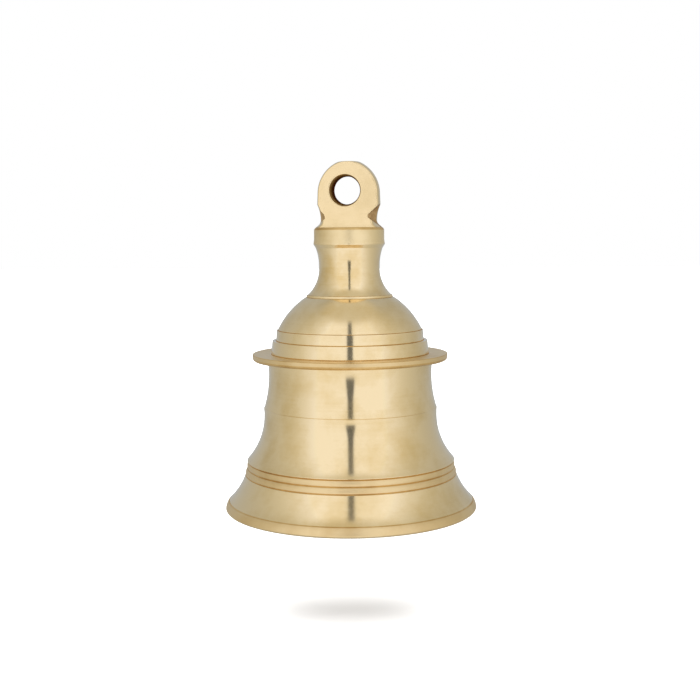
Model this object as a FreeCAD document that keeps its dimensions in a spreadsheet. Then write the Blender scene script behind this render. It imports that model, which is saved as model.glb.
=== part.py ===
import FreeCAD, Part
import math
import os
import re

import Sketcher

# A hanging temple bell of turned cast brass. The origin is the middle of the mouth, on the plane of the
# lip, and +Z runs up the bell's axis to the hanging eye. The flats of the eye face -Y and +Y.

SIZES = {
    # lip and skirt
    "lip_face_inner_radius": 59.6,
    "lip_face_outer_radius": 62.9,
    "lip_radius": 64.7,
    "lip_wide_height": 1.3,
    "lip_roll_radius": 2.4,
    "lip_band_radius": 7.0,
    "lip_crease_radius": 63.0,
    "lip_crease_height": 5.3,
    "skirt_flare_radius": 36.0,
    # band of two beads above the skirt
    "band_bottom_radius": 54.4,
    "band_bottom_height": 18.5,
    "band_middle_radius": 53.5,
    "band_middle_height": 21.8,
    "band_top_radius": 53.1,
    "band_top_height": 25.1,
    "bead_radius": 3.4,
    "bead_groove_depth": 0.35,
    "bead_groove_width": 0.5,
    # barrel
    "flare_foot_radius": 53.5,
    "flare_foot_height": 26.0,
    "flare_radius": 35.0,
    "barrel_step_radius": 44.46,
    "barrel_step_height": 53.1,
    "barrel_step": 0.3,
    "barrel_sweep_radius": 58.0,
    "barrel_top_radius": 42.1,
    # flange and the two rings on it
    "flange_radius": 49.8,
    "flange_bottom_height": 77.1,
    "flange_top_height": 80.6,
    "lower_ring_foot_radius": 40.3,
    "lower_ring_radius": 39.6,
    "lower_ring_height": 87.4,
    "upper_ring_foot_radius": 37.7,
    "upper_ring_radius": 37.4,
    "upper_ring_height": 92.7,
    # dome and crown
    "dome_radius": 40.8,
    "dome_foot_radius": 36.8,
    "seat_radius": 22.6,
    "seat_height": 109.2,
    "crown_hole_radius": 9.08,
    "crown_underside_height": 103.6,
    "crown_flat_radius": 20.6,
    # inside of the shell
    "inner_dome_radius": 35.1,
    "inner_barrel_top_radius": 36.8,
    "inner_dome_foot_height": 74.0,
    "inner_barrel_radius": 39.7,
    "inner_flare_top_height": 49.8,
    "inner_flare_radius": 40.0,
    "inner_skirt_top_radius": 47.6,
    "inner_skirt_radius": 55.0,
    "soft_edge": 0.45,
    # crown hanger: foot, neck and collar
    "spigot_radius": 9.0,
    "spigot_length": 4.0,
    "hanger_foot_radius": 22.0,
    "hanger_foot_thickness": 1.2,
    "neck_foot_radius": 21.4,
    "neck_sweep_radius": 18.4,
    "neck_waist_radius": 15.45,
    "neck_waist_bottom_height": 123.9,
    "neck_waist_top_height": 125.5,
    "neck_flare_radius": 26.0,
    "neck_top_radius": 16.95,
    "neck_top_height": 134.1,
    "ridge_radius": 18.15,
    "ridge_height": 136.0,
    "collar_radius": 17.8,
    "collar_bottom_height": 138.4,
    "collar_top_height": 143.3,
    "shoulder_outer_radius": 17.3,
    "shoulder_bottom_height": 144.1,
    "shoulder_inner_radius": 15.4,
    "shoulder_top_height": 145.7,
    # crown hanger: lug with its eye
    "lug_foot_sweep_radius": 3.2,
    "lug_waist_radius": 14.25,
    "lug_waist_height": 148.1,
    "lug_side_sweep_radius": 18.0,
    "lug_shoulder_radius": 16.0,
    "lug_shoulder_height": 155.9,
    "lug_side_radius": 15.8,
    "lug_side_height": 161.1,
    "lug_top_sweep_radius": 17.4,
    "lug_top_radius": 5.0,
    "lug_top_height": 177.5,
    "flat_half_thickness": 5.2,
    "flat_sweep_radius": 26.0,
    "flat_sweep_top_height": 158.0,
    "flat_foot_half_thickness": 9.1,
    "flat_foot_height": 144.3,
    "eye_height": 163.0,
    "eye_offset": 0.8,
    "eye_skew": 4.5,
    "eye_throat_radius": 7.0,
    "eye_throat_length": 4.2,
    "eye_taper": 0.3,
    # bolt hole in the hanger, and the eye bolt with its washer, lock washer and nut
    "bolt_radius": 5.0,
    "bolt_play": 0.06,
    "bolt_hole_top_height": 124.0,
    "drill_tip_length": 3.0,
    "bolt_top_height": 122.5,
    "bolt_end_chamfer": 0.8,
    "washer_radius": 15.0,
    "washer_thickness": 1.6,
    "lock_washer_radius": 8.6,
    "lock_washer_thickness": 2.4,
    "lock_washer_gap": 2.0,
    "lock_washer_slant": 25.0,
    "nut_across_flats": 17.0,
    "nut_height": 8.0,
    "nut_chamfer_angle": 30.0,
    "bolt_eye_height": 78.0,
    "bolt_eye_radius": 8.5,
    "bolt_wire_radius": 3.0,
    # clapper: link, rod, ball and cap nut
    "hanging_gap": 0.3,
    "link_radius": 9.0,
    "link_wire_radius": 2.2,
    "rod_eye_radius": 6.0,
    "rod_eye_wire_radius": 2.2,
    "rod_radius": 3.0,
    "rod_thread_radius": 2.5,
    "rod_collar_radius": 4.6,
    "rod_collar_length": 2.5,
    "rod_end_height": 5.4,
    "ball_radius": 13.0,
    "ball_height": 20.5,
    "ball_seat_radius": 4.8,
    "ball_bore_radius": 2.55,
    "cap_nut_across_flats": 8.0,
    "cap_nut_hex_height": 2.4,
    "cap_dome_radius": 3.6,
    "cap_nut_length": 5.0,
}

doc = FreeCAD.newDocument("temple_bell")


def fill_sheet():
    """Puts the driving dimensions, in millimetres and degrees, in a spreadsheet with an alias for each."""
    sheet = doc.addObject("Spreadsheet::Sheet", "Sizes")
    for row, (alias, value) in enumerate(SIZES.items(), start=1):
        sheet.set(f"A{row}", alias)
        sheet.set(f"B{row}", str(value))
        sheet.setAlias(f"B{row}", alias)
    doc.recompute()
    return sheet


sheet = fill_sheet()


def bound(formula):
    """The formula with each size's name pointing at its cell in the sheet."""
    return re.sub(r"[a-z_]+", lambda m: f"Sizes.{m[0]}" if m[0] in SIZES else m[0], formula)


def value(formula):
    """What the formula gives now, as a plain number."""
    result = sheet.evalExpression(bound(formula))
    return float(getattr(result, "Value", result))


def plane_of(body, role):
    return next(plane for plane in body.Origin.OriginFeatures if plane.Role == role)


def new_body(label):
    body = doc.addObject("PartDesign::Body", label)
    body.Label = label
    return body


def new_sketch(body, name, role):
    sketch = body.newObject("Sketcher::SketchObject", name)
    sketch.AttachmentSupport = [(plane_of(body, role), "")]
    sketch.MapMode = "FlatFace"
    return sketch


def arc_between(start, end, radius, turn):
    """The arc from start to end, turning left (turn 1) or right (turn -1), drawn anticlockwise."""
    chord = end - start
    reach = math.sqrt(max(radius**2 - (chord.Length / 2) ** 2, 0.0))
    left = FreeCAD.Vector(-chord.y, chord.x, 0).normalize()
    centre = (start + end) / 2 + left * reach * turn
    first, last = (start, end) if turn > 0 else (end, start)
    circle = Part.Circle(centre, FreeCAD.Vector(0, 0, 1), radius)
    angles = [math.atan2(p.y - centre.y, p.x - centre.x) for p in (first, last)]
    return Part.ArcOfCircle(circle, angles[0], angles[1])


def draw(sketch, corners):
    """Closes an outline and ties it to the sheet.

    Each corner is (across, up) or (across, up, radius, turn), where radius and turn give the arc that
    leads to the next corner. All but turn are formulas in the sheet's sizes, and "0" lies on the axis.
    """
    points = [FreeCAD.Vector(value(c[0]), value(c[1]), 0) for c in corners]
    ends = []
    for index, corner in enumerate(corners):
        start, end = points[index], points[(index + 1) % len(points)]
        if len(corner) == 2:
            sketch.addGeometry(Part.LineSegment(start, end), False)
            ends.append((1, 2))
        else:
            sketch.addGeometry(arc_between(start, end, value(corner[2]), corner[3]), False)
            ends.append((1, 2) if corner[3] > 0 else (2, 1))
    for index, corner in enumerate(corners):
        following = (index + 1) % len(corners)
        sketch.addConstraint(
            Sketcher.Constraint("Coincident", index, ends[index][1], following, ends[following][0])
        )
    for index, corner in enumerate(corners):
        tie(sketch, index, ends[index][0], "DistanceX", corner[0], points[index].x)
        tie(sketch, index, ends[index][0], "DistanceY", corner[1], points[index].y)
        if len(corner) > 2:
            number = sketch.addConstraint(Sketcher.Constraint("Radius", index, value(corner[2])))
            sketch.setExpression(f"Constraints[{number}]", bound(corner[2]))


def tie(sketch, geometry, point, kind, formula, number):
    """Holds one point of the outline at its place along one axis of the sketch."""
    if formula == "0":
        axis = -2 if kind == "DistanceX" else -1
        sketch.addConstraint(Sketcher.Constraint("PointOnObject", geometry, point, axis))
        return
    place = sketch.addConstraint(Sketcher.Constraint(kind, -1, 1, geometry, point, number))
    sketch.setExpression(f"Constraints[{place}]", bound(formula))


def revolve(body, name, corners):
    """Turns an outline, given as radius and height, about the body's vertical axis."""
    sketch = new_sketch(body, f"{name}_outline", "XZ_Plane")
    draw(sketch, corners)
    turned = body.newObject("PartDesign::Revolution", name)
    turned.Profile = sketch
    turned.ReferenceAxis = (sketch, ["V_Axis"])
    turned.Angle = 360
    doc.recompute()
    return turned


def soften(body, name, feature, rims, radius):
    """Rounds the circular edges that lie at the given radii and heights."""
    wanted = [(value(r), value(z)) for r, z in rims]
    names = []
    for index, edge in enumerate(feature.Shape.Edges, start=1):
        if not isinstance(edge.Curve, Part.Circle):
            continue
        found = (edge.Curve.Radius, edge.Curve.Center.z)
        if any(math.dist(found, rim) < 0.01 for rim in wanted):
            names.append(f"Edge{index}")
    fillet = body.newObject("PartDesign::Fillet", name)
    fillet.Base = (feature, names)
    fillet.setExpression("Radius", bound(radius))
    doc.recompute()
    return fillet


def primitive(kind, name, sizes, position=None, turn=None):
    """A Part primitive with its sizes bound to the sheet; position is (x, y, z) as formulas."""
    solid = doc.addObject(kind, name)
    for prop, formula in sizes.items():
        solid.setExpression(prop, bound(formula))
    if turn:
        solid.Placement.Rotation = FreeCAD.Rotation(FreeCAD.Vector(*turn[0]), turn[1])
    for axis, formula in zip("xyz", position or ()):
        if formula != "0":
            solid.setExpression(f"Placement.Base.{axis}", bound(formula))
    return solid


def boolean(kind, name, base, tool):
    solid = doc.addObject(kind, name)
    solid.Base = base
    solid.Tool = tool
    return solid


SHELL_OUTSIDE = [
    ("lip_face_outer_radius", "0", "lip_roll_radius", 1),
    ("lip_radius", "lip_wide_height", "lip_band_radius", 1),
    ("lip_crease_radius", "lip_crease_height", "skirt_flare_radius", -1),
    ("band_bottom_radius", "band_bottom_height"),
    ("band_bottom_radius - bead_groove_depth", "band_bottom_height + bead_groove_width", "bead_radius", 1),
    ("band_middle_radius", "band_middle_height"),
    ("band_middle_radius - bead_groove_depth", "band_middle_height + bead_groove_width", "bead_radius", 1),
    ("band_top_radius", "band_top_height"),
    ("flare_foot_radius", "flare_foot_height", "flare_radius", -1),
    ("barrel_step_radius", "barrel_step_height"),
    ("barrel_step_radius - barrel_step", "barrel_step_height", "barrel_sweep_radius", -1),
    ("barrel_top_radius", "flange_bottom_height"),
    ("flange_radius", "flange_bottom_height"),
    ("flange_radius", "flange_top_height"),
    ("lower_ring_foot_radius", "flange_top_height"),
    ("lower_ring_radius", "lower_ring_height"),
    ("upper_ring_foot_radius", "lower_ring_height"),
    ("upper_ring_radius", "upper_ring_height"),
    ("dome_foot_radius", "upper_ring_height", "dome_radius", 1),
    ("seat_radius", "seat_height"),
]

SHELL_INSIDE = [
    ("crown_hole_radius", "seat_height"),
    ("crown_hole_radius", "crown_underside_height"),
    ("crown_flat_radius", "crown_underside_height", "inner_dome_radius", -1),
    ("inner_barrel_top_radius", "inner_dome_foot_height"),
    ("inner_barrel_radius", "inner_flare_top_height", "inner_flare_radius", 1),
    ("inner_skirt_top_radius", "flare_foot_height", "inner_skirt_radius", 1),
    ("lip_face_inner_radius", "0"),
]

SHELL_SOFT_RIMS = [
    ("flange_radius", "flange_bottom_height"),
    ("flange_radius", "flange_top_height"),
    ("lower_ring_radius", "lower_ring_height"),
    ("upper_ring_radius", "upper_ring_height"),
    ("lip_face_inner_radius", "0"),
]


def make_shell():
    """The resonant shell: one casting, turned all over, with a hole in its crown."""
    body = new_body("bell_shell")
    turned = revolve(body, "shell_turning", SHELL_OUTSIDE + SHELL_INSIDE)
    soften(body, "shell_soft_rims", turned, SHELL_SOFT_RIMS, "soft_edge")
    return body


HANGER_OUTSIDE = [
    ("bolt_radius + bolt_play", "seat_height - spigot_length"),
    ("spigot_radius", "seat_height - spigot_length"),
    ("spigot_radius", "seat_height"),
    ("hanger_foot_radius", "seat_height"),
    ("hanger_foot_radius", "seat_height + hanger_foot_thickness"),
    ("neck_foot_radius", "seat_height + hanger_foot_thickness", "neck_sweep_radius", -1),
    ("neck_waist_radius", "neck_waist_bottom_height"),
    ("neck_waist_radius", "neck_waist_top_height", "neck_flare_radius", -1),
    ("neck_top_radius", "neck_top_height"),
    ("ridge_radius", "ridge_height"),
    ("collar_radius", "collar_bottom_height"),
    ("collar_radius", "collar_top_height"),
    ("shoulder_outer_radius", "shoulder_bottom_height"),
    ("shoulder_inner_radius", "shoulder_top_height", "lug_foot_sweep_radius", -1),
    ("lug_waist_radius", "lug_waist_height", "lug_side_sweep_radius", -1),
    ("lug_shoulder_radius", "lug_shoulder_height"),
    ("lug_side_radius", "lug_side_height", "lug_top_sweep_radius", 1),
    ("lug_top_radius", "lug_top_height"),
    ("0", "lug_top_height"),
    ("0", "bolt_hole_top_height + drill_tip_length"),
    ("bolt_radius + bolt_play", "bolt_hole_top_height"),
]

CUTTER_REACH = "hanger_foot_radius"
CUTTER_TOP = "lug_top_height + flat_half_thickness"

LUG_FLAT = [
    ("flat_half_thickness", CUTTER_TOP),
    ("flat_half_thickness", "flat_sweep_top_height", "flat_sweep_radius", 1),
    ("flat_foot_half_thickness", "flat_foot_height"),
    (CUTTER_REACH, "flat_foot_height"),
    (CUTTER_REACH, CUTTER_TOP),
]

# The eye's outline starts at one end of the cutter, so that every length in it is positive.
EYE_REACH = "(flat_half_thickness * 3)"
EYE_MOUTH = f"(eye_throat_radius + ({EYE_REACH} - eye_throat_length / 2) * eye_taper)"
EYE_CUT = [
    ("0", "0"),
    (EYE_MOUTH, "0"),
    ("eye_throat_radius", f"{EYE_REACH} - eye_throat_length / 2"),
    ("eye_throat_radius", f"{EYE_REACH} + eye_throat_length / 2"),
    (EYE_MOUTH, f"{EYE_REACH} * 2"),
    ("0", f"{EYE_REACH} * 2"),
]


def make_hanger():
    """Neck, collar and lug, turned in one piece, then milled flat on two sides and drilled for hanging."""
    body = new_body("crown_hanger")
    turned = revolve(body, "hanger_turning", HANGER_OUTSIDE)
    rims = [("hanger_foot_radius", "seat_height + hanger_foot_thickness")]
    softened = soften(body, "hanger_soft_rims", turned, rims, "soft_edge / 2")
    before = softened.Shape.Volume

    side = new_sketch(body, "lug_flat_outline", "YZ_Plane")
    draw(side, LUG_FLAT)
    flat = body.newObject("PartDesign::Pocket", "lug_flat")
    flat.Profile = side
    flat.SideType = "Symmetric"
    flat.setExpression("Length", bound(f"{CUTTER_REACH} * 2"))
    doc.recompute()
    expect_cut("lug_flat", before, flat.Shape.Volume)

    both = body.newObject("PartDesign::Mirrored", "lug_flats")
    both.Originals = [flat]
    both.MirrorPlane = (plane_of(body, "XZ_Plane"), [""])
    body.Tip = both
    doc.recompute()
    expect_cut("lug_flats", flat.Shape.Volume, both.Shape.Volume)

    # The eye is hand drilled: a little to one side of the lug's middle and a few degrees off square,
    # and worn or reamed wider towards both mouths.
    section = new_sketch(body, "eye_outline", "XY_Plane")
    draw(section, EYE_CUT)
    section.AttachmentOffset.Rotation = FreeCAD.Rotation(FreeCAD.Vector(0, 0, 1), -SIZES["eye_skew"])
    section.setExpression("AttachmentOffset.Rotation.Angle", bound("-eye_skew"))
    section.setExpression("AttachmentOffset.Base.x", bound(f"-eye_offset - {EYE_REACH} * sin(eye_skew)"))
    section.setExpression("AttachmentOffset.Base.y", bound(f"-{EYE_REACH} * cos(eye_skew)"))
    section.setExpression("AttachmentOffset.Base.z", bound("eye_height"))
    eye = body.newObject("PartDesign::Groove", "hanging_eye")
    eye.Profile = section
    eye.ReferenceAxis = (section, ["V_Axis"])
    eye.Angle = 360
    doc.recompute()
    expect_cut("hanging_eye", both.Shape.Volume, eye.Shape.Volume)
    return body


def expect_cut(name, before, after):
    if after > before - 1.0:
        raise RuntimeError(f"{name} removed nothing: {before:.1f} to {after:.1f} mm3")


WASHER_TOP = "crown_underside_height"
LOCK_WASHER_TOP = f"({WASHER_TOP} - washer_thickness)"
NUT_TOP = f"({LOCK_WASHER_TOP} - lock_washer_thickness)"
BOLT_HOLE = "bolt_radius + bolt_play"


def make_washer():
    """The wide flat washer that spreads the nut's load under the crown."""
    body = new_body("crown_washer")
    bottom = f"{WASHER_TOP} - washer_thickness"
    corners = [
        (BOLT_HOLE, bottom),
        ("washer_radius", bottom),
        ("washer_radius", WASHER_TOP),
        (BOLT_HOLE, WASHER_TOP),
    ]
    turned = revolve(body, "washer_turning", corners)
    soften(body, "washer_soft_rims", turned, [("washer_radius", bottom)], "soft_edge")
    return body


def make_lock_washer():
    """The split spring washer, flattened by the nut, with its slanting gap."""
    bottom = f"{LOCK_WASHER_TOP} - lock_washer_thickness"
    disc = primitive(
        "Part::Cylinder",
        "lock_washer_disc",
        {"Radius": "lock_washer_radius", "Height": "lock_washer_thickness"},
        ("0", "0", bottom),
    )
    hole = primitive(
        "Part::Cylinder",
        "lock_washer_hole",
        {"Radius": BOLT_HOLE, "Height": "lock_washer_thickness"},
        ("0", "0", bottom),
    )
    ring = boolean("Part::Cut", "lock_washer_ring", disc, hole)
    slit = primitive(
        "Part::Box",
        "lock_washer_slit",
        {"Length": "lock_washer_radius * 2", "Width": "lock_washer_gap", "Height": "lock_washer_radius * 2"},
        ("0", "0", f"{bottom} - lock_washer_radius"),
        turn=((1, 0, 0), SIZES["lock_washer_slant"]),
    )
    slit.setExpression("Placement.Rotation.Angle", bound("lock_washer_slant"))
    washer = boolean("Part::Cut", "lock_washer", ring, slit)
    washer.Label = "lock_washer"
    return washer


def hexagon(name, across_flats, height, bottom):
    return primitive(
        "Part::Prism",
        name,
        {"Circumradius": f"{across_flats} / 2 / cos(30 deg)", "Height": height},
        ("0", "0", bottom),
    )


def make_nut():
    """The hexagon nut, with its corners chamfered on both faces and its bore plain."""
    bottom = f"({NUT_TOP} - nut_height)"
    block = hexagon("nut_block", "nut_across_flats", "nut_height", bottom)
    bevel = "(nut_across_flats * (1 / cos(30 deg) - 1) / 2 * tan(nut_chamfer_angle * 1 deg))"
    corner = "nut_across_flats / 2 / cos(30 deg)"
    rounder = new_body("nut_rounder")
    corners = [
        ("0", bottom),
        ("nut_across_flats / 2", bottom),
        (corner, f"{bottom} + {bevel}"),
        (corner, f"{NUT_TOP} - {bevel}"),
        ("nut_across_flats / 2", NUT_TOP),
        ("0", NUT_TOP),
    ]
    revolve(rounder, "nut_rounder_turning", corners)
    shaped = boolean("Part::Common", "nut_shaped", block, rounder)
    hole = primitive(
        "Part::Cylinder", "nut_hole", {"Radius": BOLT_HOLE, "Height": "nut_height"}, ("0", "0", bottom)
    )
    nut = boolean("Part::Cut", "crown_nut", shaped, hole)
    nut.Label = "crown_nut"
    return nut


BOLT_EYE_TOP = "(bolt_eye_height + bolt_eye_radius)"


def ring_about_y(name, radius, wire, height):
    """A round wire bent to a ring that stands in the XZ plane."""
    sizes = {"Radius1": radius, "Radius2": wire}
    return primitive("Part::Torus", name, sizes, ("0", "0", height), turn=((1, 0, 0), 90))


def make_eye_bolt():
    """The eye bolt that joins hanger and shell and carries the clapper; its thread is left plain."""
    shank = new_body("eye_bolt_shank")
    corners = [
        ("0", BOLT_EYE_TOP),
        ("bolt_wire_radius", BOLT_EYE_TOP),
        ("bolt_radius", f"{BOLT_EYE_TOP} + bolt_wire_radius"),
        ("bolt_radius", "bolt_top_height - bolt_end_chamfer"),
        ("bolt_radius - bolt_end_chamfer", "bolt_top_height"),
        ("0", "bolt_top_height"),
    ]
    revolve(shank, "eye_bolt_turning", corners)
    eye = ring_about_y("eye_bolt_eye", "bolt_eye_radius", "bolt_wire_radius", "bolt_eye_height")
    bolt = boolean("Part::Fuse", "eye_bolt", shank, eye)
    bolt.Label = "eye_bolt"
    return bolt


# The clapper hangs loose: each ring rests in the one above with a hair's gap.
LINK_WIRE_TOP = "(bolt_eye_height - bolt_eye_radius + bolt_wire_radius + hanging_gap + link_wire_radius)"
LINK_HEIGHT = f"({LINK_WIRE_TOP} - link_radius)"
LINK_WIRE_BOTTOM = f"({LINK_HEIGHT} - link_radius)"
ROD_EYE_HEIGHT = (
    f"({LINK_WIRE_BOTTOM} + link_wire_radius + hanging_gap + rod_eye_wire_radius - rod_eye_radius)"
)


def make_link():
    """The closed link between the bolt's eye and the clapper's eye, in the YZ plane."""
    link = primitive(
        "Part::Torus",
        "clapper_link",
        {"Radius1": "link_radius", "Radius2": "link_wire_radius"},
        ("0", "0", LINK_HEIGHT),
        turn=((0, 1, 0), 90),
    )
    link.Label = "clapper_link"
    return link


BALL_SEAT = "sqrt(ball_radius ^ 2 - ball_seat_radius ^ 2)"
BALL_TOP = f"(ball_height + {BALL_SEAT})"
BALL_BOTTOM = f"(ball_height - {BALL_SEAT})"


def make_rod():
    """The clapper's rod, with an eye at its top and a collar that the ball is drawn up against."""
    stem = new_body("clapper_rod_stem")
    eye_bottom = f"({ROD_EYE_HEIGHT} - rod_eye_radius)"
    corners = [
        ("0", "rod_end_height"),
        ("rod_thread_radius", "rod_end_height"),
        ("rod_thread_radius", BALL_TOP),
        ("rod_collar_radius", BALL_TOP),
        ("rod_collar_radius", f"{BALL_TOP} + rod_collar_length"),
        ("rod_radius", f"{BALL_TOP} + rod_collar_length * 2"),
        ("rod_radius", f"{eye_bottom} - rod_radius"),
        ("rod_eye_wire_radius", eye_bottom),
        ("0", eye_bottom),
    ]
    revolve(stem, "clapper_rod_turning", corners)
    eye = ring_about_y("clapper_rod_eye", "rod_eye_radius", "rod_eye_wire_radius", ROD_EYE_HEIGHT)
    rod = boolean("Part::Fuse", "clapper_rod", stem, eye)
    rod.Label = "clapper_rod"
    return rod


def make_ball():
    """The striking ball, bored through for the rod and faced flat at both ends of the bore."""
    body = new_body("clapper_ball")
    corners = [
        ("ball_bore_radius", BALL_BOTTOM),
        ("ball_seat_radius", BALL_BOTTOM, "ball_radius", 1),
        ("ball_seat_radius", BALL_TOP),
        ("ball_bore_radius", BALL_TOP),
    ]
    revolve(body, "ball_turning", corners)
    return body


def make_cap_nut():
    """The domed nut that holds the ball on the rod."""
    hex_bottom = f"({BALL_BOTTOM} - cap_nut_hex_height)"
    block = hexagon("cap_nut_block", "cap_nut_across_flats", "cap_nut_hex_height", hex_bottom)
    dome = new_body("cap_nut_dome")
    tip = f"({BALL_BOTTOM} - cap_nut_length)"
    tip_height = f"({hex_bottom} - {tip})"
    sweep = f"((cap_dome_radius ^ 2 + {tip_height} ^ 2) / 2 / {tip_height})"
    corners = [
        ("0", tip, sweep, 1),
        ("cap_dome_radius", hex_bottom),
        ("cap_dome_radius", BALL_BOTTOM),
        ("0", BALL_BOTTOM),
    ]
    revolve(dome, "cap_nut_dome_turning", corners)
    shaped = boolean("Part::Fuse", "cap_nut_shaped", block, dome)
    hole = primitive(
        "Part::Cylinder",
        "cap_nut_hole",
        {"Radius": "ball_bore_radius", "Height": f"{BALL_BOTTOM} - rod_end_height"},
        ("0", "0", "rod_end_height"),
    )
    nut = boolean("Part::Cut", "clapper_cap_nut", shaped, hole)
    nut.Label = "clapper_cap_nut"
    return nut


def check_document():
    """Stops if any object failed to compute, which a recompute can leave without a message."""
    for item in doc.Objects:
        if {"Invalid", "Error"} & set(item.State):
            raise RuntimeError(f"{item.Name} failed: {item.State}")


def export(pieces):
    os.makedirs("parts", exist_ok=True)
    for piece in pieces:
        shape = piece.Shape
        if shape.isNull() or not shape.isValid() or len(shape.Solids) != 1:
            raise RuntimeError(f"{piece.Label} is not one valid solid")
        shape.exportStep(f"parts/{piece.Label}.step")
        box = shape.BoundBox
        print(f"{piece.Label}: {shape.Volume:.0f} mm3, z {box.ZMin:.2f} to {box.ZMax:.2f}")


pieces = [
    make_shell(),
    make_hanger(),
    make_eye_bolt(),
    make_washer(),
    make_lock_washer(),
    make_nut(),
    make_link(),
    make_rod(),
    make_ball(),
    make_cap_nut(),
]
doc.recompute()
check_document()
export(pieces)
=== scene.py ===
import math

import bpy
import numpy as np
from mathutils import Matrix, Vector


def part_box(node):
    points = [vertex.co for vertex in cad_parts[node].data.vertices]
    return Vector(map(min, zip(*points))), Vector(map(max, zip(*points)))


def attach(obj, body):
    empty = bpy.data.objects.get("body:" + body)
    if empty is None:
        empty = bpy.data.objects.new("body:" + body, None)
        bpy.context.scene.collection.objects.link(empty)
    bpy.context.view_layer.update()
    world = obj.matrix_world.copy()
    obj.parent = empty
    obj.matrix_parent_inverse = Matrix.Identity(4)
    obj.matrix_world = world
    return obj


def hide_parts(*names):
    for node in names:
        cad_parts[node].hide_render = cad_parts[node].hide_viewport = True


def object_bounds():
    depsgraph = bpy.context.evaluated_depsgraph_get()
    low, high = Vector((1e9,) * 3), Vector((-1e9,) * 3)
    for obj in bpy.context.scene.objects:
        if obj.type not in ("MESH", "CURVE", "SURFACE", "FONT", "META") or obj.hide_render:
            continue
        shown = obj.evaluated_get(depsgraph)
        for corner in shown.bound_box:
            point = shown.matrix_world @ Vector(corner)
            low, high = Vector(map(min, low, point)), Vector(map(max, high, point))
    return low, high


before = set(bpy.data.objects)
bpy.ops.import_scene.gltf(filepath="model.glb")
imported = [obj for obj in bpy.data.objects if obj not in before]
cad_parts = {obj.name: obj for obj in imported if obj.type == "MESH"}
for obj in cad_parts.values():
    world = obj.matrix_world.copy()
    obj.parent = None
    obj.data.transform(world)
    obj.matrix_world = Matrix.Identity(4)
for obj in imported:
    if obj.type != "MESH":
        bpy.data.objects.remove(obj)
cad_low, cad_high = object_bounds()

# Shapes are drawn in millimetres in the CAD frame, and become metres when their meshes are made.
MM = 0.001
LATHE_STEPS = 240
ARC_STEP = math.radians(7.0)

# A rounded corner takes up to this share of each edge beside it.
CORNER_SHARE = 0.35

# ---------------------------------------------------------------- outlines


def arc_centre(start, end, radius, turn):
    """Where the centre of an arc lies, left (1) or right (-1) of the way from its start to its end."""
    chord = end - start
    reach = math.sqrt(max(radius**2 - (chord @ chord) / 4, 0.0))
    left = np.array([-chord[1], chord[0]]) / np.linalg.norm(chord)
    return (start + end) / 2 + left * reach * turn


class Edge:
    """One stretch of an outline: a straight line, or an arc that turns left (1) or right (-1)."""

    def __init__(self, start, end, radius=0.0, turn=0):
        self.start = np.array(start, float)
        self.end = np.array(end, float)
        self.radius, self.turn = radius, turn
        if turn:
            self.centre = arc_centre(self.start, self.end, radius, turn)
            first = math.atan2(*(self.start - self.centre)[::-1])
            last = math.atan2(*(self.end - self.centre)[::-1])
            self.first = first
            self.sweep = ((last - first) * turn) % math.tau * turn
            self.length = abs(self.sweep) * radius
        else:
            self.length = float(np.linalg.norm(self.end - self.start))

    def at(self, along):
        """The point and the direction at that distance from the start."""
        if not self.turn:
            way = (self.end - self.start) / self.length
            return self.start + way * along, way
        angle = self.first + self.sweep * along / self.length
        out = np.array([math.cos(angle), math.sin(angle)])
        return self.centre + out * self.radius, np.array([-out[1], out[0]]) * self.turn


def trace(corners, closed, soft, step=1.2):
    """Points and directions along an outline whose corners are rounded by about soft.

    A corner is (across, up) or (across, up, radius, turn), where the last two give the arc that leads to
    the next corner. An arc's own length sets how closely it is divided.
    """
    count = len(corners) if closed else len(corners) - 1
    edges = []
    for index in range(count):
        here, there = corners[index], corners[(index + 1) % len(corners)]
        edges.append(Edge(here[:2], there[:2], *here[2:]))
    points, ways = [], []
    for index, edge in enumerate(edges):
        trims = []
        for other in (edges[index - 1], edges[(index + 1) % count]):
            trims.append(min(soft, edge.length * CORNER_SHARE, other.length * CORNER_SHARE))
        if not closed and index == 0:
            trims[0] = 0.0
        if not closed and index == count - 1:
            trims[1] = 0.0
        run = edge.length - sum(trims)
        parts = 1 if not edge.turn else max(3, math.ceil(run / min(step, edge.radius * ARC_STEP)))
        for part in range(parts + 1):
            point, way = edge.at(trims[0] + run * part / parts)
            points.append(point)
            ways.append(way)
        if closed or index < count - 1:
            following = edges[(index + 1) % count]
            turn_in = points[-1]
            corner = edge.end
            turn_out = following.at(trims[1])[0]
            for part in (0.2, 0.4, 0.6, 0.8):
                a = turn_in + (corner - turn_in) * part
                b = corner + (turn_out - corner) * part
                points.append(a + (b - a) * part)
                ways.append((b - a) / np.linalg.norm(b - a))
    return np.array(points), np.array(ways)


# ---------------------------------------------------------------- meshes


def object_from(name, vertices, faces, normals, slots=None):
    """An object whose mesh is given in millimetres, with the material slot of each face where it varies."""
    mesh = bpy.data.meshes.new(name)
    mesh.from_pydata((np.asarray(vertices) * MM).tolist(), [], faces)
    mesh.polygons.foreach_set("use_smooth", [True] * len(mesh.polygons))
    if slots is not None:
        mesh.polygons.foreach_set("material_index", slots)
    mesh.update()
    mesh.normals_split_custom_set_from_vertices(np.asarray(normals).tolist())
    made = bpy.data.objects.new(name, mesh)
    bpy.context.scene.collection.objects.link(made)
    return made


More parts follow.
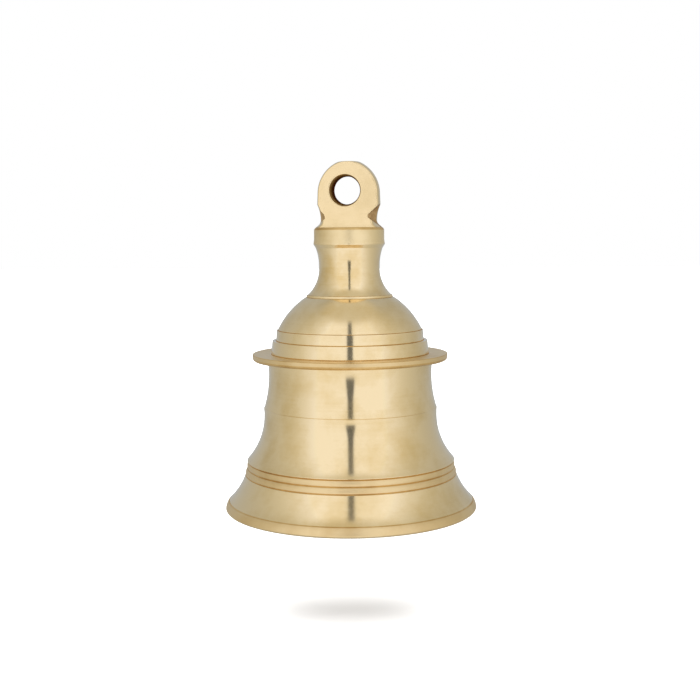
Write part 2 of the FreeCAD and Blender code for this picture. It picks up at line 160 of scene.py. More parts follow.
def turned(points, ways, closed, steps=LATHE_STEPS):
    """Vertices, faces and normals of an outline (radius, height) turned about the Z axis."""
    angles = np.linspace(0, math.tau, steps, endpoint=False)
    vertices, normals, rows = [], [], []
    for (r, z), (wr, wz) in zip(points, ways):
        on_axis = r < 1e-6
        ring = angles[:1] if on_axis else angles
        rows.append((len(vertices), len(ring)))
        for a in ring:
            c, s = math.cos(a), math.sin(a)
            vertices.append((r * c, r * s, z))
            normals.append((0, 0, -wr) if on_axis else (wz * c, wz * s, -wr))
    faces = []
    last = len(rows) if closed else len(rows) - 1
    for index in range(last):
        (low, low_count), (high, high_count) = rows[index], rows[(index + 1) % len(rows)]
        for k in range(steps):
            j = (k + 1) % steps
            if low_count == 1:
                faces.append((low, high + j, high + k))
            elif high_count == 1:
                faces.append((low + k, low + j, high))
            else:
                faces.append((low + k, low + j, high + j, high + k))
    return np.array(vertices), faces, np.array(normals)


def together(*shapes):
    """Several (vertices, faces, normals) as one."""
    vertices, faces, normals, start = [], [], [], 0
    for v, f, n in shapes:
        vertices.append(v)
        normals.append(n)
        faces += [tuple(i + start for i in face) for face in f]
        start += len(v)
    return np.concatenate(vertices), faces, np.concatenate(normals)


# ---------------------------------------------------------------- shapes from distance functions


def both(a, b, soft):
    """Where two solids overlap, with the edge between them rounded by soft."""
    sharp = np.minimum(np.maximum(a, b), -soft)
    return sharp + np.hypot(np.maximum(a + soft, 0), np.maximum(b + soft, 0))


def blended(a, b, reach):
    """Two solids run together, with a fillet of about reach between them."""
    mix = np.clip(0.5 + 0.5 * (b - a) / reach, 0, 1)
    return b + (a - b) * mix - reach * mix * (1 - mix)


def gradient(distance, points):
    step = 0.01
    slopes = []
    for axis in np.eye(3):
        slopes.append((distance(points + axis * step) - distance(points - axis * step)) / (2 * step))
    return np.stack(slopes, -1)


def skin(distance, low, high, cell):
    """Vertices, faces and normals of the surface where a distance function is zero."""
    axes = [np.arange(a - cell, b + 2 * cell, cell) for a, b in zip(low, high)]
    grid = np.stack(np.meshgrid(*axes, indexing="ij"), -1)
    inside = (distance(grid.reshape(-1, 3)) < 0).reshape(grid.shape[:3])
    filled = sum(
        inside[i : i - 1 or None, j : j - 1 or None, k : k - 1 or None].astype(int)
        for i in (0, 1)
        for j in (0, 1)
        for k in (0, 1)
    )
    crossed = (filled > 0) & (filled < 8)
    index = np.full(filled.shape, -1)
    index[crossed] = np.arange(crossed.sum())
    vertices = grid[:-1, :-1, :-1][crossed] + cell / 2
    # The vertices are drawn to the surface in a few damped steps.
    for _ in range(8):
        slope = gradient(distance, vertices)
        size = np.maximum((slope**2).sum(1), 0.05)
        vertices = vertices - slope * (distance(vertices) / size)[:, None] * 0.8
    normals = gradient(distance, vertices)
    normals /= np.linalg.norm(normals, axis=1)[:, None]
    faces = []
    for axis in range(3):
        near = np.take(inside, range(inside.shape[axis] - 1), axis)
        far = np.take(inside, range(1, inside.shape[axis]), axis)
        places = np.argwhere(near != far)
        cells = []
        for a, b in ((0, 0), (1, 0), (1, 1), (0, 1)):
            corner = places.copy()
            corner[:, (axis + 1) % 3] -= a
            corner[:, (axis + 2) % 3] -= b
            cells.append(index[tuple(corner.T)])
        quads = np.stack(cells, -1)
        outward = near[tuple(places.T)]
        quads[~outward] = quads[~outward][:, ::-1]
        faces += [tuple(quad) for quad in quads.tolist()]
    return vertices, faces, normals


def ring_distance(points, centre, radius, wire, flat_axis):
    """Distance to a wire ring whose own axis is X (0) or Y (1)."""
    p = points - np.array(centre)
    across = np.delete(p, flat_axis, axis=1)
    return np.hypot(np.linalg.norm(across, axis=1) - radius, p[:, flat_axis]) - wire


# ---------------------------------------------------------------- materials


def node(tree, kind, inputs=(), **settings):
    made = tree.nodes.new(kind)
    for key, value in settings.items():
        setattr(made, key, value)
    for key, value in dict(inputs).items():
        if isinstance(value, bpy.types.NodeSocket):
            tree.links.new(value, made.inputs[key])
        else:
            made.inputs[key].default_value = value
    return made


def math_node(tree, operation, a, b=0.0):
    return node(tree, "ShaderNodeMath", {0: a, 1: b}, operation=operation).outputs[0]


def new_material(name):
    material = bpy.data.materials.new(name)
    material.use_nodes = True
    tree = material.node_tree
    tree.nodes.clear()
    shader = node(tree, "ShaderNodeBsdfPrincipled")
    output = node(tree, "ShaderNodeOutputMaterial")
    tree.links.new(shader.outputs[0], output.inputs["Surface"])
    return material, tree, shader


def output_of(tree):
    return next(n for n in tree.nodes if n.type == "OUTPUT_MATERIAL")


def lathe_coordinates(tree):
    """The place on a turned surface as (radius, a little of the way round, height), in metres."""
    place = node(tree, "ShaderNodeTexCoord").outputs["Object"]
    parts = node(tree, "ShaderNodeSeparateXYZ", {0: place})
    x, y, z = parts.outputs
    squares = [math_node(tree, "MULTIPLY", side, side) for side in (x, y)]
    radius = math_node(tree, "SQRT", math_node(tree, "ADD", *squares))
    around = math_node(tree, "MULTIPLY", math_node(tree, "ARCTAN2", y, x), 0.0006)
    combined = node(tree, "ShaderNodeCombineXYZ", {0: radius, 1: around, 2: z})
    return place, combined.outputs[0]


def mixed_color(tree, factor, first, second):
    """Two colours mixed, where each is a constant or another node's output."""
    colors = [c if isinstance(c, bpy.types.NodeSocket) else (*c, 1) for c in (first, second)]
    inputs = {"Factor": factor, 6: colors[0], 7: colors[1]}
    return node(tree, "ShaderNodeMix", inputs, data_type="RGBA").outputs[2]


def scaled(tree, value, low, high, start=0.0, end=1.0, **settings):
    """Runs from start to end while the value runs from low to high, and stays level beyond them."""
    inputs = {0: value, 1: low, 2: high, 3: start, 4: end}
    return node(tree, "ShaderNodeMapRange", inputs, clamp=True, **settings).outputs[0]


def metal(name, light, dark, roughness, spread, marks, mark_size, stretch=0.0, turned_work=True):
    """A worked metal, with blotches between two colours and uneven gloss.

    The tool marks are mark_size apart and marks deep, in metres, and run round the piece on turned work.
    Stretch draws the highlights out along them.
    """
    material, tree, shader = new_material(name)
    place, lathe = lathe_coordinates(tree)
    blotch = node(tree, "ShaderNodeTexNoise", {"Vector": place, "Scale": 55.0, "Detail": 4.0,
                                               "Roughness": 0.6}).outputs[0]
    speck = node(tree, "ShaderNodeTexNoise", {"Vector": place, "Scale": 700.0, "Detail": 2.0}).outputs[0]
    source = lathe if turned_work else place
    tool = node(tree, "ShaderNodeTexNoise", {"Vector": source, "Scale": 1 / mark_size, "Detail": 3.0,
                                             "Roughness": 0.7}).outputs[0]
    wear_and_shade = math_node(tree, "ADD", blotch, math_node(tree, "MULTIPLY", tool, 0.14))
    stain = scaled(tree, wear_and_shade, 0.50, 0.76)
    tree.links.new(mixed_color(tree, stain, light, dark), shader.inputs["Base Color"])
    uneven = math_node(tree, "ADD", blotch, math_node(tree, "MULTIPLY", speck, 0.6))
    rough = scaled(tree, uneven, 0.5, 1.1, roughness, roughness + spread)
    tree.links.new(rough, shader.inputs["Roughness"])
    bump = node(tree, "ShaderNodeBump", {"Height": tool, "Strength": 1.0, "Distance": marks})
    tree.links.new(bump.outputs[0], shader.inputs["Normal"])
    shader.inputs["Metallic"].default_value = 1.0
    if stretch:
        shader.inputs["Anisotropic"].default_value = stretch
        shader.inputs["Anisotropic Rotation"].default_value = 0.25
        tangent = node(tree, "ShaderNodeTangent", direction_type="RADIAL", axis="Z")
        tree.links.new(tangent.outputs[0], shader.inputs["Tangent"])
    return material


BRASS_LIGHT = (0.93, 0.755, 0.48)
BRASS_DARK = (0.83, 0.635, 0.34)

polished_brass = metal("polished_brass", BRASS_LIGHT, BRASS_DARK, 0.09, 0.06, 1.5e-6, 0.0012, stretch=0.3)
beaded_brass = metal("beaded_brass", (0.87, 0.67, 0.38), (0.78, 0.57, 0.29), 0.33, 0.08, 2e-6, 0.0012)
neck_brass = metal("neck_brass", BRASS_LIGHT, (0.80, 0.585, 0.275), 0.10, 0.06, 1.5e-6, 0.0012, stretch=0.3)
satin_brass = metal("satin_brass", (0.95, 0.77, 0.47), BRASS_DARK, 0.36, 0.06, 2e-6, 0.0012)
filed_brass = metal("filed_brass", (0.96, 0.76, 0.46), (0.90, 0.70, 0.40), 0.19, 0.08, 5e-6, 0.0030,
                    turned_work=False)
# Darker brass: tarnish in the hollows, and also painted shade and painted reflection in concave corners.
patina_and_shade_brass = metal("patina_and_shade_brass", (0.80, 0.56, 0.25), (0.60, 0.37, 0.13), 0.36, 0.12, 4e-6, 0.0010)
cast_brass = metal("cast_brass", (0.60, 0.42, 0.20), (0.38, 0.25, 0.12), 0.42, 0.15, 9e-5, 0.0022)
notched_brass = metal("notched_brass", (0.76, 0.54, 0.28), (0.34, 0.19, 0.08), 0.34, 0.14, 1.6e-4, 0.0010,
                      turned_work=False)


def drilled_metal():
    """The eye's wall: ringed by the drill, golden at its mouths, and painted nearly black halfway through as
    shade deep in the hole.
    """
    material, tree, shader = new_material("drilled_brass_painted_shade")
    place = node(tree, "ShaderNodeTexCoord").outputs["Object"]
    depth = math_node(tree, "ABSOLUTE", node(tree, "ShaderNodeSeparateXYZ", {0: place}).outputs[1])
    rings = node(tree, "ShaderNodeTexWave", {"Vector": place, "Scale": 340.0, "Distortion": 1.5,
                                             "Detail Scale": 400.0}, bands_direction="Y").outputs["Fac"]
    # The base colour darkens with depth into the hole: painted shade, broken up by the drill rings.
    wear_and_shade = math_node(tree, "ADD", depth, math_node(tree, "MULTIPLY", rings, 0.0011))
    mouth = scaled(tree, wear_and_shade, 0.0026, 0.0055)
    tree.links.new(mixed_color(tree, mouth, (0.09, 0.042, 0.02), (0.70, 0.46, 0.20)),
                   shader.inputs["Base Color"])
    bump = node(tree, "ShaderNodeBump", {"Height": rings, "Strength": 1.0, "Distance": 5e-5})
    tree.links.new(bump.outputs[0], shader.inputs["Normal"])
    shader.inputs["Metallic"].default_value = 1.0
    shader.inputs["Roughness"].default_value = 0.42
    shader.inputs["Specular Tint"].default_value = (0.4, 0.22, 0.12, 1)
    return material


drilled_brass_painted_shade = drilled_metal()
zinc = metal("zinc_plate", (0.72, 0.73, 0.74), (0.60, 0.61, 0.64), 0.28, 0.12, 1e-5, 0.0008)
dull_zinc = metal("dull_zinc", (0.52, 0.53, 0.55), (0.40, 0.40, 0.42), 0.40, 0.15, 2e-5, 0.0008)

# ---------------------------------------------------------------- shell

SHELL_SOFTNESS = 0.28
# The outline of the shell as trace() takes it, from the lip's face up to the hole in the crown.
OUTSIDE = [
    (62.9, 0.0, 2.4, 1),
    (64.7, 1.3, 7.0, 1),
    (63.15, 5.1),
    (62.75, 5.4, 36.0, -1),
    (54.5, 18.3),
    (53.9, 18.65),
    (54.2, 19.0, 3.2, 1),
    (53.5, 21.75),
    (52.95, 22.05),
    (53.25, 22.4, 3.2, 1),
    (53.1, 25.05),
    (52.6, 25.35),
    (53.45, 25.9, 35.0, -1),
    (44.46, 52.9),
    (44.05, 53.1),
    (44.12, 53.4, 58.0, -1),
    (42.11, 77.1),
    (48.2, 77.1, 1.7, 1),
    (49.8, 78.5),
    (49.8, 80.6),
    (40.6, 80.6),
    (40.15, 80.3),
    (40.25, 80.95),
    (39.6, 87.4),
    (38.0, 87.4),
    (37.55, 87.1),
    (37.65, 87.75),
    (37.4, 92.7),
    (37.1, 92.7),
    (36.6, 92.4),
    (36.75, 92.95, 40.8, 1),
    (22.6, 109.2),
    (9.08, 109.2),
]
# Where polish and tarnish have settled, and where shade and reflections in the concave corners are painted
# darker: the grooves and feet, as radius and height.
CREASES = [
    (62.9, 5.3),
    (54.1, 18.6),
    (53.1, 22.05),
    (52.75, 25.4),
    (48.7, 77.2),
    (49.4, 77.7),
    (49.7, 78.3),
    (49.8, 80.6),
    (40.25, 80.5),
    (37.6, 87.3),
    (36.7, 92.6),
]
CREASE_REACH = 0.36
# The lip and the band of beads are polished less than the rest, and so is the flange, which starts at this
# radius.
DULL_HEIGHTS = [(-1.0, 5.3), (18.6, 25.4)]
FLANGE_HEIGHTS = (77.0, 80.7)
FLANGE_START = 41.0
# The rest of it, from the crown's underside down to the mouth.
INSIDE = [
    (9.08, 103.6),
    (20.6, 103.6, 35.1, -1),
    (36.8, 74.0),
    (39.7, 49.8, 40.0, 1),
    (47.6, 26.0, 55.0, 1),
    (59.6, 0.0),
]


def between(value, limits):
    return limits[0] < value < limits[1]


def outside_metal(radius, height):
    """The metal of the shell's outside at a radius and height."""
    # Grooves and feet take the darker patina, which is partly painted shade there.
    if min(np.linalg.norm(np.array(CREASES) - (radius, height), axis=1)) < CREASE_REACH:
        return patina_and_shade_brass
    on_flange = between(height, FLANGE_HEIGHTS) and radius > FLANGE_START
    if on_flange or any(between(height, limits) for limits in DULL_HEIGHTS):
        return beaded_brass
    return polished_brass


def make_shell():
    metals = [polished_brass, cast_brass, patina_and_shade_brass, beaded_brass]
    points, ways = trace(OUTSIDE + INSIDE, closed=True, soft=SHELL_SOFTNESS)
    vertices, faces, normals = turned(points, ways, closed=True)
    outer_rows = len(trace(OUTSIDE, closed=False, soft=SHELL_SOFTNESS)[0])
    slots = []
    for index, point in enumerate(points):
        middle = (point + points[(index + 1) % len(points)]) / 2
        row_metal = outside_metal(*middle) if index < outer_rows else cast_brass
        slots += [metals.index(row_metal)] * LATHE_STEPS
    shell = object_from("shell_skin", vertices, faces, normals, slots)
    for material in metals:
        shell.data.materials.append(material)
    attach(shell, "bell")
    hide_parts("bell_shell")


# ---------------------------------------------------------------- hanger

FOOT_RADIUS = 22.0
FOOT_BOTTOM = 109.2
FOOT_TOP = 110.4
COLLAR_FOOT = 136.2
COLLAR_SHOULDER = 143.1
# The lug starts inside the collar, shows from its foot up, and is filed bright from a little above that.
LUG_BOTTOM = 143.2
LUG_FOOT = 144.3
FILED_FROM = 144.45
LUG_TOP = 177.5
NECK = [
    (0.0, 105.2),
    (9.0, 105.2),
    (9.0, FOOT_BOTTOM),
    (FOOT_RADIUS, FOOT_BOTTOM),
    (FOOT_RADIUS, FOOT_TOP),
    (21.4, FOOT_TOP, 18.4, -1),
    (15.45, 123.9),
    (15.45, 125.5, 26.0, -1),
    (16.95, 134.1),
    (18.15, 136.0),
    (17.8, 138.4),
    (17.8, 143.3),
    (17.3, 144.1),
    (17.06, LUG_FOOT),
    (0.0, LUG_FOOT),
]
LUG = [
    (15.0, LUG_BOTTOM),
    (17.06, LUG_FOOT),
    (15.4, 145.7, 3.2, -1),
    (14.25, 148.1, 18.0, -1),
    (16.0, 155.9),
    (15.8, 161.1, 17.4, 1),
    (5.0, LUG_TOP),
]
LUG_RADII, LUG_HEIGHTS = trace(LUG, closed=False, soft=0.3)[0].T
LUG_SLOPES = np.gradient(LUG_RADII, LUG_HEIGHTS)
LUG_HALF_THICKNESS = 5.2
LUG_FLARE_TOP = 158.0
LUG_FLARE_RADIUS = 26.0
EYE_CENTRE = np.array([-0.8, 0.0, 163.0])
EYE_SKEW = math.radians(4.5)
EYE_RADIUS = 7.0
EYE_HALF_THROAT = 2.1
EYE_TAPER = 0.3
LUG_EDGE = 0.45
# The waist's front edges are filed away by hand, more on one side (1) than on the other (-1). Each notch
# is side, the face's new edge, and where the notch starts to close above and below. The slopes are those
# of the facet and of the two faces that close it, against the distance beyond the edge.
NOTCHES = [(1, 11.4, 151.6, 148.7), (-1, 12.8, 151.6, 147.8)]
FACET_SLOPE = 1.17
ABOVE_SLOPE = 0.95
BELOW_SLOPE = 0.8
NOTCH_EDGE = 0.25


def notch_distance(points, side, edge, high, low):
    """Distance to a slanting filed facet between two faces that close it above and below."""
    x, y, z = points.T
    beyond = x * side - edge
    facet = (y + LUG_HALF_THICKNESS - FACET_SLOPE * beyond) / math.hypot(1, FACET_SLOPE)
    above = (z - high - ABOVE_SLOPE * beyond) / math.hypot(1, ABOVE_SLOPE)
    below = (low - z - BELOW_SLOPE * beyond) / math.hypot(1, BELOW_SLOPE)
    return np.maximum(facet, np.maximum(above, below))


def eye_depth(points):
    """How far inside the eye's wall a point lies. The eye slants, and widens from throat to mouths."""
    axis = np.array([-math.sin(EYE_SKEW), -math.cos(EYE_SKEW), 0.0])
    offset = points - EYE_CENTRE
    along = offset @ axis
    out = np.linalg.norm(offset - along[:, None] * axis, axis=1)
    return EYE_RADIUS + np.maximum(np.abs(along) - EYE_HALF_THROAT, 0) * EYE_TAPER - out


def lug_distance(points):
    """The lug: turned, cut flat on two sides with a flare at the foot, and bored for hanging."""
    x, y, z = points.T
    sides = np.interp(z, LUG_HEIGHTS, LUG_RADII)
    steepness = np.interp(z, LUG_HEIGHTS, LUG_SLOPES)
    lathe = (np.hypot(x, y) - sides) / np.hypot(1, steepness)
    lathe = both(lathe, np.maximum(z - LUG_HEIGHTS[-1], LUG_HEIGHTS[0] - z), LUG_EDGE)
    drop = np.clip(LUG_FLARE_TOP - z, 0, LUG_FLARE_RADIUS * 0.9)
    half = LUG_HALF_THICKNESS + LUG_FLARE_RADIUS - np.sqrt(LUG_FLARE_RADIUS**2 - drop**2)
    slope = drop / np.sqrt(LUG_FLARE_RADIUS**2 - drop**2)
    flats = (np.abs(y) - half) / np.hypot(1, slope)
    eye = eye_depth(points) / math.hypot(1, EYE_TAPER)
    solid = both(both(lathe, flats, LUG_EDGE), eye, LUG_EDGE * 0.8)
    for notch in NOTCHES:
        solid = both(solid, -notch_distance(points, *notch), NOTCH_EDGE)
    return solid


def make_hanger():
    neck = turned(*trace(NECK, closed=False, soft=0.25), closed=False)
    lug = skin(lug_distance, (-18, -11, LUG_BOTTOM), (18, 11, LUG_TOP), 0.4)
    vertices, faces, normals = together(neck, lug)
    centres = np.array([vertices[list(face)].mean(0) for face in faces])
    x, y, height = centres.T
    radius = np.hypot(x, y)
    in_eye = (eye_depth(centres) > -0.12) & (np.abs(y) < LUG_HALF_THICKNESS - 0.25)
    notched = np.min([notch_distance(centres, *notch) for notch in NOTCHES], 0) < 0.15
    # The foot is a bright rim between two dark lines, which are painted shade in the corners where it meets
    # the dome and the neck.
    on_rim = radius > FOOT_RADIUS - 0.2
    rim = on_rim & (abs(height - (FOOT_BOTTOM + FOOT_TOP) / 2) < 0.5)
    under_rim = on_rim & (abs(height - FOOT_BOTTOM) < 0.3)
    over_rim = (radius < FOOT_RADIUS - 0.4) & (abs(height - FOOT_TOP - 0.05) < 0.2)
    # The first that holds of these says which metal a face is made of.
    metal_where = [
        (satin_brass, rim),
        (patina_and_shade_brass, under_rim | over_rim),
        (drilled_brass_painted_shade, in_eye),
        (notched_brass, notched),
        (filed_brass, height > FILED_FROM),
        # The corner where the lug meets the collar's shoulder is darkened with the same patina and painted
        # shade.
        (patina_and_shade_brass, height > COLLAR_SHOULDER),
        (satin_brass, height > COLLAR_FOOT),
    ]
    metals = [neck_brass, satin_brass, filed_brass, drilled_brass_painted_shade, notched_brass, patina_and_shade_brass]
    choices = [metals.index(material) for material, _ in metal_where]
    slots = np.select([where for _, where in metal_where], choices, default=metals.index(neck_brass))
    hanger = object_from("hanger_skin", vertices, faces, normals, slots.tolist())
    for material in metals:
        hanger.data.materials.append(material)
    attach(hanger, "bell")
    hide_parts("crown_hanger")


# ---------------------------------------------------------------- fittings kept from the CAD model


def paint(name, material):
    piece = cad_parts[name]
    piece.data.materials.clear()
    piece.data.materials.append(material)


# ---------------------------------------------------------------- bolt, link and rod


def box_mm(name):
    low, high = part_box(name)
    return np.array(low) / MM, np.array(high) / MM


def threaded(radius, low, high, pitch, depth, steps=60):
    """A screw thread about the Z axis, fading out over its last turn at both ends."""
    heights = np.arange(low, high + 1e-6, pitch / 6)
    angles = np.linspace(0, math.tau, steps, endpoint=False)
    vertices, normals = [], []
    for z in heights:
        fade = min(1.0, (z - low) / pitch, (high - z) / pitch)
        for a in angles:
            place = (z / pitch - a / math.tau) % 1
            groove = 1 - abs(place - 0.5) * 2
            r = radius - depth * groove * fade
            slope = depth * fade * 2 / pitch * (1 if place < 0.5 else -1)
            vertices.append((r * math.cos(a), r * math.sin(a), z))
            normals.append((math.cos(a), math.sin(a), slope))
    faces = []
    for row in range(len(heights) - 1):
        for k in range(steps):
            j = (k + 1) % steps
            faces.append((row * steps + k, row * steps + j, (row + 1) * steps + j, (row + 1) * steps + k))
    for row, way in ((0, -1), (len(heights) - 1, 1)):
        ring = [row * steps + k for k in range(steps)]
        faces.append(tuple(ring[::way]))
    return np.array(vertices), faces, np.array(normals)


def stem_distance(points, radius, low, high):
    """Distance to an upright round bar."""
    x, y, z = points.T
    return both(np.hypot(x, y) - radius, np.maximum(z - high, low - z), 0.3)


def fitted(name, node_name, body, slot, material, *shapes):
    """A detailed piece that stands for a CAD node."""
    vertices, faces, normals = together(*shapes)
    piece = object_from(name, vertices, faces, normals)
    piece.data.materials.append(material)
    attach(piece, body)
    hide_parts(node_name)


def make_bolt():
    low, high = box_mm("eye_bolt")
    ring, wire, shank = 8.5, 3.0, 5.0
    centre = low[2] + ring + wire
    top = centre + ring

    def eye(points):
        hoop = ring_distance(points, (0, 0, centre), ring, wire, 1)
        return blended(hoop, stem_distance(points, shank, top + 1.5, top + 5), 2.5)

    bent = skin(eye, (-12, -5.5, low[2] - 0.3), (12, 5.5, top + 5.5), 0.5)
    thread = threaded(shank - 0.02, top + 3.5, high[2], pitch=1.5, depth=0.55)
    fitted("bolt_skin", "eye_bolt", "bell", "bolt_steel", zinc, bent, thread)


def make_link():
    low, high = box_mm("clapper_link")
    ring, wire, weld_bulge = 9.0, 2.2, 0.2
    centre = (low[2] + high[2]) / 2

    def loop(points):
        hoop = ring_distance(points, (0, 0, centre), ring, wire, 0)
        weld = np.linalg.norm((points - (0, ring, centre)) * (1, 1, 1.5), axis=1) - wire - weld_bulge
        return blended(hoop, weld, 0.5)

    hoop = skin(loop, (-3, -12, low[2] - 0.3), (3, 12, high[2] + 0.3), 0.4)
    fitted("link_skin", "clapper_link", "link", "link_steel", zinc, hoop)


def make_rod():
    low, high = box_mm("clapper_rod")
    ring, wire, shank, thread, collar = 6.0, 2.2, 3.0, 2.5, 4.6
    centre = high[2] - ring - wire
    bottom = centre - ring
    seat = box_mm("clapper_ball")[1][2]

    def eye(points):
        hoop = ring_distance(points, (0, 0, centre), ring, wire, 1)
        return blended(hoop, stem_distance(points, shank, bottom - 8, bottom - 1), 2.0)

    bent = skin(eye, (-9, -4, bottom - 8.3), (9, 4, high[2] + 0.3), 0.4)
    stem = [
        (0.0, low[2]),
        (thread, low[2]),
        (thread, seat),
        (collar, seat),
        (collar, seat + 2.5, 2.6, -1),
        (shank, seat + 5.0),
        (shank, bottom - 6),
        (0.0, bottom - 6),
    ]
    shaft = turned(*trace(stem, closed=False, soft=0.3), closed=False, steps=72)
    fitted("rod_skin", "clapper_rod", "clapper", "rod_brass", satin_brass, bent, shaft)


make_shell()
make_hanger()
make_bolt()
make_link()
make_rod()
for name in ("crown_washer", "crown_nut"):
    paint(name, zinc)
paint("lock_washer", dull_zinc)
for name in ("clapper_ball", "clapper_cap_nut"):
    paint(name, satin_brass)

# ---------------------------------------------------------------- floor, light and camera

CAMERA_AZIMUTH = math.radians(7.0)
CAMERA_DISTANCE = 0.5865
CAMERA_HEIGHT = 0.1409
CAMERA_PITCH = math.radians(5.74)
CAMERA_ROLL = math.radians(0.45)
# The floor lies this far under the bell, which hangs above it.
FLOOR_DROP = 0.055
SUN_TILT = math.radians(42.0)


def add_camera():
    data = bpy.data.cameras.new("camera")
    data.sensor_width = 36.0
    data.lens = 59.14
    camera = bpy.data.objects.new("camera", data)
    bpy.context.scene.collection.objects.link(camera)
    side = Vector((math.sin(CAMERA_AZIMUTH), -math.cos(CAMERA_AZIMUTH), 0))
    turn = Matrix.Rotation(CAMERA_AZIMUTH, 4, "Z") @ Matrix.Rotation(math.pi / 2 - CAMERA_PITCH, 4, "X")
    turn = turn @ Matrix.Rotation(-CAMERA_ROLL, 4, "Z")
    camera.matrix_world = Matrix.Translation(side * CAMERA_DISTANCE + Vector((0, 0, CAMERA_HEIGHT))) @ turn
    bpy.context.scene.camera = camera


def add_floor():
    size = 6.0
    height = cad_low.z - FLOOR_DROP
    mesh = bpy.data.meshes.new("floor")
    corners = [(-size, -size), (size, -size), (size, size), (-size, size)]
    mesh.from_pydata([(x, y, height) for x, y in corners], [], [(0, 1, 2, 3)])
    floor = bpy.data.objects.new("floor", mesh)
    bpy.context.scene.collection.objects.link(floor)
    material, tree, shader = new_material("pale_floor")
    shader.inputs["Base Color"].default_value = (0.93, 0.93, 0.93, 1)
    shader.inputs["Roughness"].default_value = 1.0
    shader.inputs["Specular IOR Level"].default_value = 0.0
    shader.inputs["Emission Color"].default_value = (1, 1, 1, 1)
    shader.inputs["Emission Strength"].default_value = 0.34
    # From below the floor isn't there, so that the inside of the bell can be looked into.
    below = node(tree, "ShaderNodeNewGeometry").outputs["Backfacing"]
    clear = node(tree, "ShaderNodeBsdfTransparent")
    either = node(tree, "ShaderNodeMixShader", {0: below, 1: shader.outputs[0], 2: clear.outputs[0]})
    tree.links.new(either.outputs[0], output_of(tree).inputs["Surface"])
    mesh.materials.append(material)
    # The bell reflects the tent, which closes under it too.
    floor.visible_glossy = False


def add_suns():
    """Two broad lights from the front and the back, so that only the strip under both shadows is dark."""
    for name, tilt in (("front", SUN_TILT), ("back", -SUN_TILT)):
        data = bpy.data.lights.new(name, "SUN")
        data.energy = 2.1
        data.angle = math.radians(20.0)
        light = bpy.data.objects.new(name, data)
        light.matrix_world = Matrix.Rotation(CAMERA_AZIMUTH, 4, "Z") @ Matrix.Rotation(tilt, 4, "X")
        light.visible_glossy = False
        bpy.context.scene.collection.objects.link(light)


# The tent's light against the angle in degrees from the camera, right round to the far side.
TENT_COLORS = [
    (0, (1.02, 1.07, 1.22)),
    (20, (1.13, 1.20, 1.47)),
    (38, (1.07, 1.12, 1.27)),
    (58, (0.87, 0.86, 0.82)),
    (80, (0.67, 0.65, 0.56)),
    (108, (0.535, 0.525, 0.46)),
    (140, (0.475, 0.488, 0.49)),
    (175, (0.475, 0.52, 0.585)),
]
TENT_TOP = (0.66, 0.63, 0.53)
SLIT_COLOR = (0.15, 0.16, 0.17)
# The slit's half width, as the sideways part of a direction, against the direction's upward part.
SLIT_LOW, SLIT_LOW_HALF = -0.14, 0.100
SLIT_BEND, SLIT_BEND_HALF = 0.12, 0.066
SLIT_HIGH, SLIT_HIGH_HALF = 0.88, 0.040
# Where the slit fades in above its foot and out below its top, by the upward part, and where it fades out
# round the sides, by the share of the half turn away from the camera. Above it the sky fades to the top.
SLIT_FOOT = (-0.24, -0.19)
SLIT_TOP = (0.88, 0.94)
SLIT_SIDES = (0.40, 0.45)
SLIT_EDGE = (0.85, 1.15)
SKY = (0.83, 0.97)


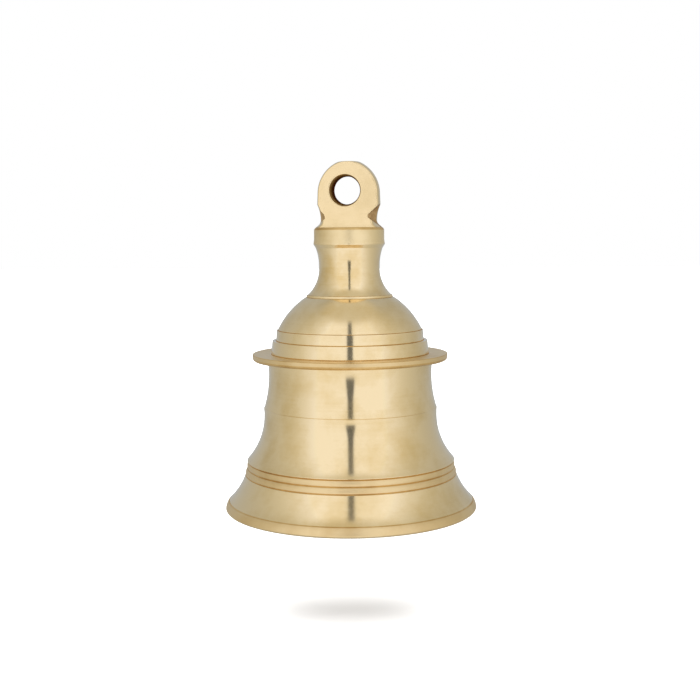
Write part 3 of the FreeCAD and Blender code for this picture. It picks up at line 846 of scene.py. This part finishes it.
def add_tent():
    """A white light tent, brightest round the camera, with the narrow dark slit that it looks through."""
    world = bpy.data.worlds.new("tent")
    bpy.context.scene.world = world
    world.use_nodes = True
    tree = world.node_tree
    tree.nodes.clear()
    way = node(tree, "ShaderNodeTexCoord").outputs["Generated"]
    x, y, z = node(tree, "ShaderNodeSeparateXYZ", {0: way}).outputs
    azimuth = math_node(tree, "ARCTAN2", x, math_node(tree, "MULTIPLY", y, -1.0))
    azimuth = math_node(tree, "SUBTRACT", azimuth, CAMERA_AZIMUTH)
    azimuth = math_node(tree, "WRAP", azimuth, math.pi)
    azimuth.node.inputs[2].default_value = -math.pi
    turn = math_node(tree, "DIVIDE", math_node(tree, "ABSOLUTE", azimuth), math.pi)
    ramp = node(tree, "ShaderNodeValToRGB", {0: turn})
    ramp.color_ramp.interpolation = "B_SPLINE"
    while len(ramp.color_ramp.elements) < len(TENT_COLORS):
        ramp.color_ramp.elements.new(0.5)
    for element, (degrees, color) in zip(ramp.color_ramp.elements, TENT_COLORS):
        element.position = degrees / 180
        element.color = (*color, 1)
    taper = scaled(tree, z, SLIT_LOW, SLIT_BEND, SLIT_LOW_HALF, SLIT_BEND_HALF)
    further = scaled(tree, z, SLIT_BEND, SLIT_HIGH, 0.0, SLIT_BEND_HALF - SLIT_HIGH_HALF)
    half = math_node(tree, "SUBTRACT", taper, further)
    level = math_node(tree, "SQRT", math_node(tree, "SUBTRACT", 1.0, math_node(tree, "MULTIPLY", z, z)))
    aside = math_node(tree, "ABSOLUTE", math_node(tree, "MULTIPLY", math_node(tree, "SINE", azimuth), level))
    edge = scaled(tree, math_node(tree, "DIVIDE", aside, half), *SLIT_EDGE, 1.0, 0.0)
    ahead = scaled(tree, turn, *SLIT_SIDES, 1.0, 0.0)
    top = scaled(tree, z, *SLIT_TOP, 1.0, 0.0)
    foot = scaled(tree, z, *SLIT_FOOT)
    ends = math_node(tree, "MULTIPLY", math_node(tree, "MULTIPLY", top, foot), ahead)
    slit = math_node(tree, "MULTIPLY", edge, ends)
    above = scaled(tree, z, *SKY, interpolation_type="SMOOTHSTEP")
    vault = mixed_color(tree, above, ramp.outputs[0], TENT_TOP)
    tent = mixed_color(tree, slit, vault, SLIT_COLOR)
    seen = node(tree, "ShaderNodeLightPath").outputs["Is Camera Ray"]
    lit = node(tree, "ShaderNodeBackground", {"Color": tent, "Strength": 1.0})
    plain = node(tree, "ShaderNodeBackground", {"Color": (1, 1, 1, 1), "Strength": 1.0})
    choice = node(tree, "ShaderNodeMixShader", {0: seen, 1: lit.outputs[0], 2: plain.outputs[0]})
    output = node(tree, "ShaderNodeOutputWorld")
    tree.links.new(choice.outputs[0], output.inputs["Surface"])


add_camera()
add_floor()
add_suns()
add_tent()
bpy.context.scene.view_settings.view_transform = "Standard"
